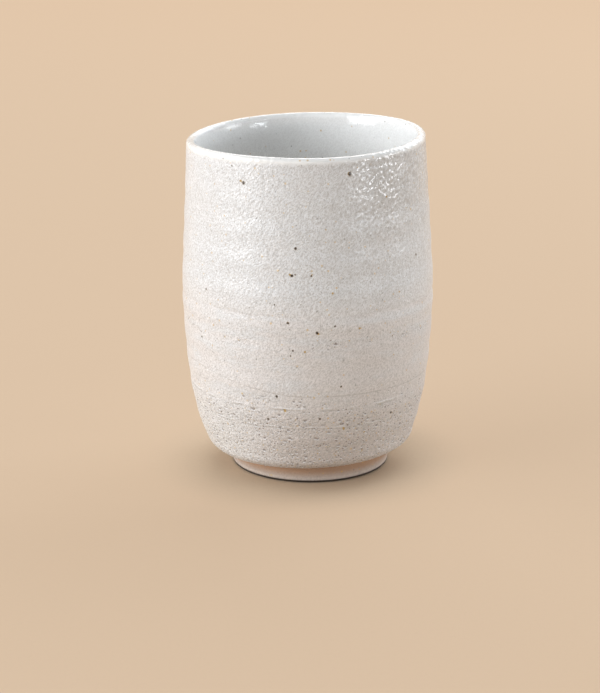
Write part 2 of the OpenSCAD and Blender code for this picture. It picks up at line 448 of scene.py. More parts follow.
def rgba(colour_value, shade=1.0):
    """A colour setting as a node's value, made lighter or darker by a factor."""
    return (*(channel * shade for channel in colour_value), 1.0)


def operator_pair(operation):
    """An operator and its reflected form, as methods that add the operation's node."""

    def plain(self, other):
        return self.math(operation, self, other)

    def reflected(self, other):
        return self.math(operation, other, self)

    return plain, reflected


class Field:
    """A value that varies over the surface. Python's operators on it add Math or Vector Math nodes."""

    def __init__(self, tree, socket=None):
        self.tree = tree
        self.socket = socket

    def node(self, kind, settings=None, inputs=None, output=0):
        """Adds a node: its settings first, then the values or links of its sockets."""
        made = self.tree.nodes.new(kind)
        for name, value in (settings or {}).items():
            setattr(made, name, value)
        for name, value in (inputs or {}).items():
            if isinstance(value, Field):
                self.tree.links.new(value.socket, made.inputs[name])
            else:
                made.inputs[name].default_value = value
        return None if output is None else Field(self.tree, made.outputs[output])

    def is_vector(self):
        return self.socket.type == "VECTOR"

    def math(self, operation, *values):
        kind = "ShaderNodeMath"
        if any(isinstance(value, Field) and value.is_vector() for value in values):
            kind = "ShaderNodeVectorMath"
        return self.node(kind, {"operation": operation}, dict(enumerate(values)))

    __add__, __radd__ = operator_pair("ADD")
    __sub__, __rsub__ = operator_pair("SUBTRACT")
    __mul__, __rmul__ = operator_pair("MULTIPLY")
    __truediv__, __rtruediv__ = operator_pair("DIVIDE")

    def __neg__(self):
        return self.math("MULTIPLY", self, -1.0)

    def __abs__(self):
        return self.math("ABSOLUTE", self)

    def most(self, other):
        return self.math("MAXIMUM", self, other)

    def root(self):
        return self.math("SQRT", self)

    def cosine(self):
        return self.math("COSINE", self)

    def rise(self, start, end):
        """0 at start and 1 at end, with a smooth step between them. The start may be the higher one."""
        inputs = {"Value": self, "From Min": start, "From Max": end}
        return self.node("ShaderNodeMapRange", {"interpolation_type": "SMOOTHSTEP"}, inputs)

    def scaled(self, factor):
        """A vector times a number or a number field."""
        return self.node("ShaderNodeVectorMath", {"operation": "SCALE"}, {0: self, "Scale": factor})

    def part(self, axis):
        """One component of a vector, or one channel of a colour."""
        return self.node("ShaderNodeSeparateXYZ", None, {0: self}, "XYZ".index(axis))

    def vector(self, x, y, z):
        return self.node("ShaderNodeCombineXYZ", None, {0: x, 1: y, 2: z})

    def distance_to(self, other):
        return self.node("ShaderNodeVectorMath", {"operation": "DISTANCE"}, {0: self, 1: other}, "Value")

    def noise(self, size, detail=2.0, roughness=0.5):
        """Soft noise about zero, whose lumps are about size across, on this position."""
        inputs = {"Vector": self, "Scale": 1 / size, "Detail": detail, "Roughness": roughness}
        return self.node("ShaderNodeTexNoise", {"noise_dimensions": "3D"}, inputs) - 0.5

    def wander(self, size, reach):
        """A soft random step for each point of this position."""
        inputs = {"Vector": self, "Scale": 1 / size, "Detail": 1.0}
        made = self.node("ShaderNodeTexNoise", {"noise_dimensions": "3D"}, inputs, "Color")
        sides = {0: made, 1: Vector((0.5, 0.5, 0.5))}
        return self.node("ShaderNodeVectorMath", {"operation": "SUBTRACT"}, sides).scaled(reach)

    def noise_line(self, size):
        """Soft noise about zero along a single number."""
        inputs = {"W": self, "Scale": 1 / size}
        return self.node("ShaderNodeTexNoise", {"noise_dimensions": "1D"}, inputs) - 0.5

    def cells(self, size):
        """Scattered cells: the distance to the nearest centre in metres, and its three random numbers."""
        inputs = {"Vector": self, "Scale": 1 / size}
        made = self.node("ShaderNodeTexVoronoi", {"feature": "F1"}, inputs)
        random = Field(self.tree, made.socket.node.outputs["Color"])
        return made * size, [random.part(axis) for axis in "XYZ"]

    def tint(self, colour_value, amount, shade=1.0):
        """This colour mixed towards another one, which is made lighter or darker by a factor."""
        inputs = {"Factor": amount, 6: self, 7: rgba(colour_value, shade)}
        return self.node("ShaderNodeMix", {"data_type": "RGBA"}, inputs, 2)


class Place:
    """Where a point is on the cup: its height and angle, and its position moved out to one radius."""

    WRAP_R = 37 * MM
    SLANT = 0.6

    def __init__(self, position):
        self.position = position
        self.x = position.part("X")
        self.y = position.part("Y")
        self.z = position.part("Z")
        self.r = (self.x * self.x + self.y * self.y).root()
        self.angle = position.math("ARCTAN2", self.x, -self.y)
        along = self.WRAP_R / self.r.most(MM)
        self.wrapped = position.vector(self.x * along, self.y * along, self.z)

    def slanted(self):
        """The position sheared, so that patterns on it slant up to the right at the front."""
        return self.position.vector(self.x, self.y, self.z - self.x * self.SLANT)

    def around(self, start, end):
        """0 at one angle and 1 at another, in degrees, with a smooth step between them."""
        return self.angle.rise(math.radians(start), math.radians(end))

    def from_front(self, start, end):
        """The same for the angle to either side of the front."""
        return abs(self.angle).rise(math.radians(start), math.radians(end))

    def height(self, start, end):
        """The same for the height, in millimetres."""
        return self.z.rise(start * MM, end * MM)

    def spot(self, degrees, height):
        """A point of the wrapped wall, given by its angle from the front and its height."""
        angle = math.radians(degrees)
        return Vector((math.sin(angle), -math.cos(angle), 0)) * self.WRAP_R + Vector((0, 0, height))


def drawn_out(vector, across, tall):
    """A position in which every pattern is drawn out: across times as wide and tall times as high."""
    return vector * Vector((1 / across, 1 / across, 1 / tall))


# Marks in the surface, shared by the meshes and the materials

RELIEF_GROUP = "relief"
BUMP_SHARE = 0.5

# Bounds between which the lip turns white and glossy, along a level that follows the rim's tilt
LIP_LOW = 97.6 * MM
LIP_HIGH = 99.3 * MM
RIM_SLOPE = 0.026
# The crease under the lip, and the rough band below the dip line
CREASE_Z = 97.0 * MM
ROUGH_BAND_Z = 46.6 * MM
# The middle of the pebbly side, in degrees
PEBBLY_SIDE = 62
# The scored spiral: where it is lowest, how far it climbs, and the angle in degrees at which it stops
SPIRAL_Z = 30.5 * MM
SPIRAL_CLIMB = 4.6 * MM
SPIRAL_END = -64
# Other scored lines: height and width of the line and of the ridge above it in millimetres, and the noise
# levels between which they are broken up
SCORED_LINES = (
    (26.1, 0.9, 26.8, 0.6, -0.08, 0.08),
    (20.2, 0.6, 20.8, 0.5, 0.1, -0.06),
)
# Pits, large pits, gouges and scratches of the lower wall: how many times as wide as high, cell size and
# radius in millimetres, and the share of the cells where the wall is roughest
PITS = ((1, 0.85, 0.32, 0.9), (1.6, 1.7, 0.52, 0.8), (2.6, 1.3, 0.36, 0.8), (14, 1.5, 0.2, 0.8))
# Radii between which the tool's grooves begin, inside the foot
RECESS_EDGE = (18.2 * MM, 17.2 * MM)

# Iron specks in view: angle in degrees, height and radius in millimetres, and the step in millimetres,
# across and up, to the lighter end of the speck
IRON_SPECKS = [
    (-30.7, 92.2, 0.50, -0.95, 0.42),
    (19.8, 95.2, 0.62, -0.30, 0.05),
    (-37.2, 96.6, 0.26, 0.0, 0.0),
    (-5.6, 74.5, 0.42, 0.0, 0.0),
    (-7.2, 66.7, 0.46, -0.50, 0.30),
    (-5.7, 67.0, 0.24, 0.0, 0.0),
    (1.5, 66.7, 0.30, 0.20, 0.35),
    (58.7, 68.5, 0.34, 0.0, 0.0),
    (-51.7, 59.2, 0.32, 0.0, 0.0),
    (-14.7, 58.1, 0.24, 0.0, 0.0),
    (-8.7, 52.9, 0.36, 0.0, 0.15),
    (11.9, 51.9, 0.26, 0.0, 0.0),
    (4.0, 50.1, 0.42, 0.40, -0.25),
    (-6.7, 44.7, 0.28, 0.0, 0.0),
    (-56.5, 44.1, 0.30, 0.0, 0.0),
    (-7.7, 43.1, 0.26, 0.0, 0.0),
    (15.2, 33.5, 0.30, 0.0, -0.15),
    (-14.4, 30.4, 0.40, 0.0, 0.0),
    (5.7, 23.6, 0.32, 0.0, 0.0),
    (-19.2, 23.0, 0.36, 0.0, 0.0),
    (44.3, 22.4, 0.40, 0.0, 0.0),
    (-47.0, 22.2, 0.28, 0.0, 0.0),
]
# Ochre specks in view, with no step
OCHRE_SPECKS = [
    (39.2, 87.5, 0.36),
    (8.0, 79.8, 0.26),
    (10.9, 61.5, 0.36),
    (44.9, 59.3, 0.36),
    (23.3, 50.7, 0.38),
    (-1.3, 44.4, 0.36),
    (-10.7, 26.1, 0.55),
    (17.7, 19.9, 0.46),
    (28.9, 17.9, 0.38),
]


def nearness(place, spots):
    """1 on any of the spots and 0 away from them."""
    result = place.z * 0.0
    for degrees, height, radius in spots:
        edge = radius * MM
        spot = place.wrapped.distance_to(place.spot(degrees, height * MM)).rise(edge, edge * 0.7)
        result = result.most(spot)
    return result


def scattered(position, size, radius, share=1.0):
    """Marks of uneven size in a share of the cells, one near the centre of each."""
    distance, random = position.cells(size)
    chosen = position.math("LESS_THAN", random[2], share)
    edge = (random[0] * 0.6 + 0.4) * chosen * radius + SAME_PLACE
    return distance.rise(edge, edge * 0.4)


def line_at(place, height, width):
    """1 along a line at a height, falling to 0 at half its width."""
    return abs(place.z - height).rise(width / 2, 0.0)


def broken(place, size, start, end):
    """A soft mask that breaks a line up on its way round the cup."""
    return drawn_out(place.wrapped, 2, 1).noise(size, 2.0).rise(start, end)


def spiral_height(place):
    """Height of the scored spiral, which climbs to the left."""
    return place.around(0, SPIRAL_END) * SPIRAL_CLIMB + SPIRAL_Z


def roughened(place):
    """How rough the lower wall is: most under the scored lines, and in patches along a band."""
    patches = place.wrapped.noise(8 * MM, 2.0)
    low = (place.z + patches * (16 * MM)).rise(33 * MM, 20 * MM)
    band = line_at(place, ROUGH_BAND_Z, 4.2 * MM) * patches.rise(-0.12, 0.08) * 0.6
    return low.most(band)


def pebbled(place):
    """How pebbly the second coat is: most near the rim, on the side towards +X."""
    side = abs(place.angle - math.radians(PEBBLY_SIDE)).rise(math.radians(75), math.radians(20))
    patches = place.wrapped.noise(12 * MM, 2.0) * 0.8
    return side * (place.height(58, 92) * 0.75 + 0.25 + patches)


def first_coat_marks(place):
    """The marks of the turned, thinly glazed lower wall, each from 0 to 1."""
    rough = roughened(place)
    ragged = place.wrapped + place.wrapped.wander(0.9 * MM, 0.3 * MM)
    nothing = place.z * 0.0

    def cuts(position):
        result = nothing
        for wide, size, radius, share in PITS:
            pits = scattered(drawn_out(position, wide, 1), size * MM, radius * MM, rough * share)
            result = result.most(pits)
        return result

    cut = cuts(ragged)
    # The pits' raised lower edges, which the material also lightens as a painted highlight
    burr_and_highlight = cuts(ragged + Vector((0, 0, 0.3 * MM))) * (1 - cut)
    fade = place.from_front(150, 115)
    spiral = line_at(place, spiral_height(place), 0.5 * MM) * fade * broken(place, 3 * MM, -0.25, 0.1)
    wavering = place.wrapped.noise(7 * MM) * (0.6 * MM)
    scored = nothing
    raised = nothing
    for height, width, ridge, ridge_width, start, end in SCORED_LINES:
        here = broken(place, 4 * MM, start, end)
        scored = scored.most(line_at(place, wavering + height * MM, width * MM) * here)
        raised = raised.most(line_at(place, wavering + ridge * MM, ridge_width * MM) * here)
    # The ridges above the scored lines join them, with the same painted highlight
    burr_and_highlight = burr_and_highlight.most(raised * 0.8)
    return {"rough": rough, "cut": cut, "burr_and_highlight": burr_and_highlight, "spiral": spiral, "scored": scored}


def first_coat_relief(place, marks):
    """Height of the first coat over its even surface."""
    peel = place.position.noise(1.3 * MM, 1.0) * (0.06 * MM)
    turning = drawn_out(place.wrapped, 14, 1).noise(1.1 * MM, 2.0) * (0.10 * MM)
    cut = marks["cut"] * (0.15 * MM) + marks["spiral"] * (0.06 * MM) + marks["scored"] * (0.08 * MM)
    return peel + turning * (marks["rough"] * 0.8 + 0.3) + marks["burr_and_highlight"] * (0.08 * MM) - cut


def second_coat_relief(place):
    """Orange peel, soft slanting strokes, and the low line under the lip."""
    peel = place.position.noise(1.3 * MM, 1.0) * (0.05 * MM) * (pebbled(place) * 1.6 + 0.7)
    strokes = place.slanted().noise(2.6 * MM, 2.0) * (0.08 * MM)
    crease = line_at(place, CREASE_Z, 2.0 * MM) * broken(place, 3 * MM, -0.2, 0.15) * (0.03 * MM)
    return peel + strokes - crease


def liner_relief(place):
    """Fine orange peel over the finger spiral that climbs from the floor."""
    peel = place.position.noise(1.1 * MM, 1.0) * (0.06 * MM)
    travel = place.r + place.z
    turns = (travel * (math.tau / (8 * MM)) + place.angle).cosine() * (0.10 * MM)
    calm = place.height(88, 70) * place.r.rise(2 * MM, 7 * MM)
    return peel + turns * calm


def clay_relief(place):
    """Grain of the bare clay, and the grooves of the turning tool inside the foot."""
    grain = place.position.noise(0.7 * MM, 2.0) * (0.06 * MM)
    grooves = (place.r * (math.tau / (1.7 * MM)) + place.angle).cosine() * (0.05 * MM)
    sweep = place.r.noise_line(3 * MM) * (0.1 * MM)
    return grain + (grooves + sweep) * place.r.rise(*RECESS_EDGE)


def foot_relief(place):
    """Fine grain of the sponged foot, with a few soft turning lines."""
    grain = place.position.noise(0.6 * MM, 2.0) * (0.04 * MM)
    lines = drawn_out(place.wrapped, 20, 1).noise(0.9 * MM, 1.0) * (0.06 * MM)
    return grain + lines


def handmade(place, shape, hand, line):
    """How far the thrown cup departs from the turned form: lean, bow, uneven rim and soft waves."""
    share = place.z / shape.cup_h
    around = place.y.math("ARCTAN2", place.y, place.x)
    lean = place.z * -math.tan(hand.lean) + share * (1 - share) * (4 * hand.bow)

    def lobes(count, degrees):
        return ((around - math.radians(degrees)) * count).cosine()

    high = share * share * share
    rise = lobes(1, 10) * hand.rim_tilt + lobes(2, 45) * hand.rim_saddle + lobes(3, 0) * hand.rim_lobes
    waves = drawn_out(place.position, 2.2, 1).noise(16 * MM, 2.0) * hand.wall_waves
    waves = waves * place.z.rise(line.hip_z * 0.8, line.hip_z * 2)
    oval = (lobes(2, 20) - 1) * hand.rim_oval
    outward = (high * oval + waves) / place.r.most(MM)
    low = place.height(14, 7)
    tilt = place.x * (hand.hip_tilt / line.join.x) * low * place.z.rise(1.5 * MM, line.join.y)
    across = lean + place.x * outward + low * hand.foot_x
    back = place.y * outward + low * hand.foot_y
    return place.position.vector(across, back, high * rise + tilt)


# Modelling steps

# Edges sharper than this stay sharp
SMOOTH_ANGLE = math.radians(60)


def deselect_everything():
    bpy.ops.object.select_all(action="DESELECT")


def turn_outline(name, run, columns):
    """Draws an outline point by point and turns it round the cup's axis into a closed skin."""
    deselect_everything()
    first = run[0]
    last = run[-1]
    bpy.ops.mesh.primitive_plane_add(size=MM, location=(first[0], 0, first[1]))
    piece = bpy.context.object
    piece.name = name
    piece.data.name = name
    bpy.ops.object.transform_apply(location=True, rotation=True, scale=True)
    bpy.ops.object.mode_set(mode="EDIT")
    bpy.ops.mesh.select_all(action="SELECT")
    bpy.ops.mesh.merge(type="CENTER")
    for here, there in zip(run, run[1:]):
        step = (there[0] - here[0], 0, there[1] - here[1])
        bpy.ops.mesh.extrude_region_move(TRANSFORM_OT_translate={"value": step})
    bpy.ops.object.mode_set(mode="OBJECT")

    group = piece.vertex_groups.new(name=RELIEF_GROUP)
    ends = (Vector((first[0], 0, first[1])), Vector((last[0], 0, last[1])))
    for vertex in piece.data.vertices:
        nearest = min(run, key=lambda point: abs(point[0] - vertex.co.x) + abs(point[1] - vertex.co.z))
        group.add([vertex.index], nearest[2], "REPLACE")
        vertex.select = min((vertex.co - end).length for end in ends) < SAME_PLACE
    for edge in piece.data.edges:
        edge.select = False
    if first[0] > SAME_PLACE:
        bpy.ops.object.mode_set(mode="EDIT")
        bpy.ops.mesh.edge_face_add()
        bpy.ops.object.mode_set(mode="OBJECT")

    bpy.ops.object.modifier_add(type="SCREW")
    lathe = piece.modifiers[-1]
    lathe.axis = "Z"
    lathe.angle = math.tau
    lathe.steps = columns
    lathe.render_steps = columns
    lathe.use_merge_vertices = True
    lathe.merge_threshold = SAME_PLACE
    bpy.ops.object.modifier_apply(modifier=lathe.name)
    bpy.ops.object.mode_set(mode="EDIT")
    bpy.ops.mesh.select_all(action="SELECT")
    bpy.ops.mesh.remove_doubles(threshold=SAME_PLACE)
    bpy.ops.mesh.normals_make_consistent(inside=False)
    bpy.ops.object.mode_set(mode="OBJECT")
    return piece


def work_by_hand(piece, relief):
    """Gives a turned skin its handmade shape, then the relief of its surface, with one modifier."""
    scene = bpy.context.scene
    bpy.context.view_layer.objects.active = piece
    bpy.ops.object.modifier_add(type="NODES")
    modifier = piece.modifiers[-1]
    tree = bpy.data.node_groups.new("Handwork", "GeometryNodeTree")
    tree.interface.new_socket("Geometry", in_out="INPUT", socket_type="NodeSocketGeometry")
    tree.interface.new_socket("Geometry", in_out="OUTPUT", socket_type="NodeSocketGeometry")
    modifier.node_group = tree
    start = Field(tree).node("NodeGroupInput")
    place = Place(Field(tree).node("GeometryNodeInputPosition"))

    shape = scene.tea_cup_shape
    moved = handmade(place, shape, scene.tea_cup_hand, Outline(shape))
    thrown = start.node("GeometryNodeSetPosition", None, {"Geometry": start, "Offset": moved})

    settings = {"data_type": "FLOAT"}
    share = start.node("GeometryNodeInputNamedAttribute", settings, {"Name": RELIEF_GROUP})
    normal = start.node("GeometryNodeInputNormal")
    raised = normal.scaled(relief(place) * share)
    marked = thrown.node("GeometryNodeSetPosition", None, {"Geometry": thrown, "Offset": raised})
    marked.node("NodeGroupOutput", None, {"Geometry": marked}, None)

    bpy.ops.object.modifier_apply(modifier=modifier.name)
    bpy.data.node_groups.remove(tree)
    bpy.ops.object.vertex_group_remove(all=True)
    bpy.ops.object.shade_smooth_by_angle(angle=SMOOTH_ANGLE)


def turn_piece(name, draw_run, columns, relief, node):
    """Makes one piece of the cup in place of its node. The columns are named as in the detail settings."""
    scene = bpy.context.scene
    detail = scene.tea_cup_detail
    run = draw_run(Outline(scene.tea_cup_shape), detail)
    piece = turn_outline(name, run, getattr(detail, columns))
    work_by_hand(piece, relief)
    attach(piece, "root")
    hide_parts(node)
    return piece


# Materials


# Refractive index of the thick glazes, and of the thin one and the clay
GLAZE_IOR = 1.6
THIN_IOR = 1.5


def new_material(name, colour_value):
    """A material without a shader: its first colour, and the place on the cup."""
    material = bpy.data.materials.new(name)
    material.use_nodes = True
    material.node_tree.nodes.clear()
    start = Field(material.node_tree)
    base = start.node("ShaderNodeRGB")
    base.socket.default_value = rgba(colour_value)
    return material, base, Place(start.node("ShaderNodeTexCoord", None, None, "Object"))


def dress(piece, material, base, roughness, height, ior):
    """Ends a material with its shader and gives it to the piece. The relief's height is in metres."""
    normal = height.node("ShaderNodeBump", None, {"Height": height, "Distance": 1.0, "Strength": 1.0})
    inputs = {"Base Color": base, "Roughness": roughness, "Normal": normal, "IOR": ior}
    shader = base.node("ShaderNodeBsdfPrincipled", None, inputs)
    shader.node("ShaderNodeOutputMaterial", None, {"Surface": shader}, None)
    piece.data.materials.clear()
    piece.data.materials.append(material)


def with_grain(place, base, colours, strength, lumpy):
    """The sandy grain of a glaze full of bubbles: shade in its hollows, in short slanting strokes."""
    slanted = place.slanted()
    sand = slanted.noise(0.42 * MM, 1.0, 0.6)
    lumps = slanted.noise(1.1 * MM, 2.0, 0.6)
    base = base.tint(colours.shade, sand.rise(0.2, -0.25) * strength)
    return base.tint(colours.shade, lumps.rise(0.2, -0.2) * lumpy)


def with_specks(place, base, colours, low, high):
    """Iron and ochre specks: those in view between two heights, and scattered ones round the back."""
    iron = [speck for speck in IRON_SPECKS if low < speck[1] * MM < high]
    ochre = [speck for speck in OCHRE_SPECKS if low < speck[1] * MM < high]
    ragged = Place(place.position + place.position.wander(0.5 * MM, 0.35 * MM))
    degree = math.radians(1) * ragged.WRAP_R / MM
    long = [speck for speck in iron if speck[3] or speck[4]]
    tails = [(a + across / degree, z + up, r * 0.85) for a, z, r, across, up in long]
    middles = [(a + across / degree / 2, z + up / 2, r * 0.9) for a, z, r, across, up in long]
    halos = [(a, z, r * 1.35) for a, z, r, across, up in iron]
    cores = [(a, z, r) for a, z, r, across, up in iron]
    away = place.from_front(66, 76)
    back = scattered(ragged.wrapped, 12 * MM, 0.6 * MM, 0.7) * away
    back_ochre = scattered(ragged.wrapped + Vector((0, 0, 5 * MM)), 9 * MM, 0.45 * MM, 0.7) * away
    base = base.tint(colours.ochre, nearness(ragged, ochre + tails).most(back_ochre) * 0.85)
    base = base.tint(colours.ochre, nearness(ragged, middles + halos) * 0.45, 0.6)
    return base.tint(colours.iron, nearness(ragged, cores).most(back) * 0.97)


def with_dots(place, base, colours, share):
    """The faint ochre and grey dots that iron dust leaves in the glaze, in a share of their cells."""
    ochre = scattered(place.position, 2.1 * MM, 0.46 * MM, share)
    grey = scattered(place.position + Vector((3 * MM, 5 * MM, 7 * MM)), 1.9 * MM, 0.38 * MM, share)
    base = base.tint(colours.ochre, ochre * 0.6, 1.4)
    return base.tint(colours.shade, grey * 0.55, 0.5)


def second_coat_material(piece, colours):
    """Satin white glaze: grey painted shade in its hollows, with warm thin patches, and glossy on the lip.
    """
    material, base, place = new_material("Second coat", colours.second_coat)
    patches = place.wrapped.noise(11 * MM, 3.0)
    pebbly = pebbled(place)
    base = base.tint(colours.first_coat, patches.rise(-0.1, 0.3) * 0.35)
    base = base.tint(colours.first_coat, place.height(62, 55) * 0.5)
    level = place.z - place.x * RIM_SLOPE + place.wrapped.noise(3 * MM, 2.0) * MM
    lip = level.rise(LIP_LOW, LIP_HIGH)
    grain = (1 - lip) * 0.66
    base = with_grain(place, base, colours, grain, (pebbly.most(0.0) * 0.45 + 0.12) * (1 - lip))
    base = base.tint(colours.lip, lip)
    base = with_dots(place, base, colours, 0.5)
    base = with_specks(place, base, colours, SECOND_LOW.z, SECOND_HIGH.z)
    sheen = pebbly.most(0.0) * place.height(78, 90)
    roughness = (0.32 - sheen * 0.2 - lip * 0.22).most(0.08)
    glassy = pebbly.most(lip)
    fine = place.slanted().noise(0.9 * MM, 2.0, 0.6) * (1.1 - glassy).most(0.1) * (0.2 * MM)
    pebbles = place.position.noise(1.1 * MM, 0.5, 0.4) * pebbly.most(lip * 0.7) * (0.24 * MM)
    relief = second_coat_relief(place) * BUMP_SHARE
    dress(piece, material, base, roughness, relief + fine + pebbles, GLAZE_IOR)


def first_coat_material(piece, colours):
    """Thin warm glaze: pits and clay under the scored line partly painted shade, burrs painted highlights.
    """
    material, base, place = new_material("First coat", colours.first_coat)
    marks = first_coat_marks(place)
    patches = place.wrapped.noise(9 * MM, 3.0)
    streaks = drawn_out(place.wrapped, 9, 1).noise(2.2 * MM, 2.0)
    low = place.height(36, 10)
    base = base.tint(colours.second_coat, (patches + streaks).rise(-0.1, 0.3) * (1 - low) * 0.7)
    front = place.from_front(170, 110)
    # The lower wall darker: partly thinner glaze over the clay, partly painted shade on the side turned
    # from the key light
    thin_and_shaded = place.around(-42, 2) * (1 - place.around(15, 50) * 0.5) * front * 0.57
    base = base.tint(colours.thin_glaze_and_shade, low * (thin_and_shaded + (patches + streaks) * 0.4))
    # Painted light: the lower wall lighter on the left, towards the key light
    lit_left = place.around(-18, -50) * front
    base = base.tint(colours.lip, low * lit_left * 0.7)
    shaded = place.around(-30, 10) * front * place.height(54, 42)
    base = base.tint(colours.thin_glaze_and_shade, shaded * 0.2)
    dip_shadow = place.height(52.4, 54.4) * broken(place, 5 * MM, -0.05, 0.2)
    base = base.tint(colours.thin_glaze_and_shade, dip_shadow * 0.3)
    base = with_grain(place, base, colours, marks["rough"] * 0.12 + 0.62, 0.14)
    base = with_dots(place, base, colours, marks["rough"] * 0.4 + 0.6)
    beside_dots = place.position + Vector((MM, 2 * MM, 3 * MM))
    freckled = marks["rough"] * (place.around(-12, 20) * front * 0.35 + 0.5)
    freckles = scattered(beside_dots, 1.3 * MM, 0.36 * MM, freckled)
    base = base.tint(colours.ochre, freckles * 0.6, 1.1)
    beside_freckles = beside_dots + Vector((4 * MM, -MM, MM))
    pepper = scattered(beside_freckles, 1.1 * MM, 0.38 * MM, freckled * 0.9)
    base = base.tint(colours.flash_and_shade, pepper * 0.8, 0.35)
    # Painted highlight on the burrs and ridges, where their edges would catch the light
    base = base.tint(colours.second_coat, marks["burr_and_highlight"] * 0.65, 1.1)
    # Darker pits: partly clay under thin glaze, partly painted shade in the hollows
    base = base.tint(colours.thin_glaze_and_shade, marks["cut"] * 0.7, 0.45)
    base = base.tint(colours.shade, (marks["spiral"] * 0.6).most(marks["scored"] * 0.5))
    base = with_specks(place, base, colours, 0.0, SECOND_LOW.z)
    roughness = 0.34 + marks["rough"] * 0.12 + marks["cut"] * 0.2
    fine = place.slanted().noise(0.8 * MM, 3.0, 0.6) * (marks["rough"] * (0.25 * MM) + 0.21 * MM)
    height = first_coat_relief(place, marks) * BUMP_SHARE + fine
    dress(piece, material, base, roughness, height, THIN_IOR)


def liner_material(piece, colours):
    """Glossy pale glaze, with painted light that turns it as white as the lip on its way up."""
    material, base, place = new_material("Liner", colours.liner)
    patches = place.position.noise(14 * MM, 3.0)
    base = base.tint(colours.second_coat, patches.rise(0.0, 0.3) * 0.3)
    calm = place.height(77, 93)
    # Painted light: whiter towards the rim, where more light falls into the cup
    base = base.tint(colours.lip, calm)
    base = with_grain(place, base, colours, calm * -0.25 + 0.42, 0.05)
    base = with_dots(place, base, colours, 0.2)
    roughness = patches * 0.03 + 0.07
    fine = place.slanted().noise(0.9 * MM, 2.0, 0.6) * (calm * (-0.3 * MM) + 0.37 * MM)
    dress(piece, material, base, roughness, liner_relief(place) * BUMP_SHARE + fine, GLAZE_IOR)


def clay_material(piece, name, colours, relief):
    """Bare stoneware: sandy, freckled with iron, warm beside the glaze, with painted shade under the body.
    """
    material, base, place = new_material(name, colours.clay)
    grain = place.position.noise(0.6 * MM, 3.0, 0.6)
    patches = place.position.noise(9 * MM, 3.0)
    base = base.tint(colours.clay, grain.rise(0.0, 0.25) * 0.7, 1.3)
    base = base.tint(colours.clay, grain.rise(0.0, -0.25) * 0.6, 0.6)
    base = base.tint(colours.thin_glaze_and_shade, patches.rise(-0.05, 0.25) * 0.5)
    # Kiln flash beside the glaze, deepened by painted shade under the body's overhang at the top of the
    # foot
    flash_and_overhang_shade = place.r.rise(21 * MM, 22 * MM) * place.height(1.0, 4.0)
    base = base.tint(colours.flash_and_shade, flash_and_overhang_shade * 0.85)
    base = with_dots(place, base, colours, 0.7)
    # A lighter line just above the foot's lower edge
    pale_line = line_at(place, 1.4 * MM, 1.2 * MM)
    base = base.tint(colours.clay, pale_line * 0.25, 1.4)
    # Painted shadow: the foot's lowest edge nearly black, as the gap where it meets the ground
    base = base.tint(colours.flash_and_shade, place.height(0.9, 0.65) * 0.97, 0.05)
    roughness = grain * 0.1 + 0.80
    fine = place.position.noise(0.7 * MM, 2.0, 0.6) * (0.12 * MM)
    dress(piece, material, base, roughness, relief(place) * BUMP_SHARE + fine, THIN_IOR)


# Operators: one for each piece, and one for the stage


class TEACUP_OT_foot_ring(Operator):
    """Turn the foot ring that the cup stands on"""

    bl_idname = "teacup.foot_ring"
    bl_label = "Foot Ring"

    def execute(self, context):
        piece = turn_piece(
            "turned_foot", foot_ring_run, "clay_columns", foot_relief, "foot_ring"
        )
        clay_material(piece, "Foot clay", context.scene.tea_cup_colours, foot_relief)
        return {"FINISHED"}


class TEACUP_OT_clay_body(Operator):
    """Throw the clay wall and floor under the glazes"""

    bl_idname = "teacup.clay_body"
    bl_label = "Clay Body"

    def execute(self, context):
        piece = turn_piece("thrown_body", clay_run, "clay_columns", clay_relief, "clay_body")
        clay_material(piece, "Body clay", context.scene.tea_cup_colours, clay_relief)
        return {"FINISHED"}


class TEACUP_OT_first_coat(Operator):
    """Lay the first coat of glaze over the outside, with the turning marks that it covers"""

    bl_idname = "teacup.first_coat"
    bl_label = "First Coat"

    def execute(self, context):
        def relief(place):
            return first_coat_relief(place, first_coat_marks(place))

        piece = turn_piece("first_coat", first_coat_run, "columns", relief, "outer_glaze")
        first_coat_material(piece, context.scene.tea_cup_colours)
        return {"FINISHED"}


class TEACUP_OT_second_coat(Operator):
    """Lay the second coat of glaze from the dip line up over the lip"""

    bl_idname = "teacup.second_coat"
    bl_label = "Second Coat"

    def execute(self, context):
        piece = turn_piece(
            "second_coat", second_coat_run, "rim_columns", second_coat_relief, "rim_glaze"
        )
        second_coat_material(piece, context.scene.tea_cup_colours)
        return {"FINISHED"}


class TEACUP_OT_liner(Operator):
    """Pour the glossy liner over the inside"""

    bl_idname = "teacup.liner"
    bl_label = "Liner"

    def execute(self, context):
        piece = turn_piece("liner", liner_run, "liner_columns", liner_relief, "inner_glaze")
        liner_material(piece, context.scene.tea_cup_colours)
        return {"FINISHED"}


CAMERA_PLACE = Vector((0, -0.6445, 0.22856))
CAMERA_PITCH = math.radians(16.72)
CAMERA_YAW = math.radians(0.212)
CAMERA_LENS = 115.88
SENSOR_WIDTH = 36
LIGHT_DISTANCE = 1.6
LIGHT_TARGET = Vector((0, 0, 0.05))
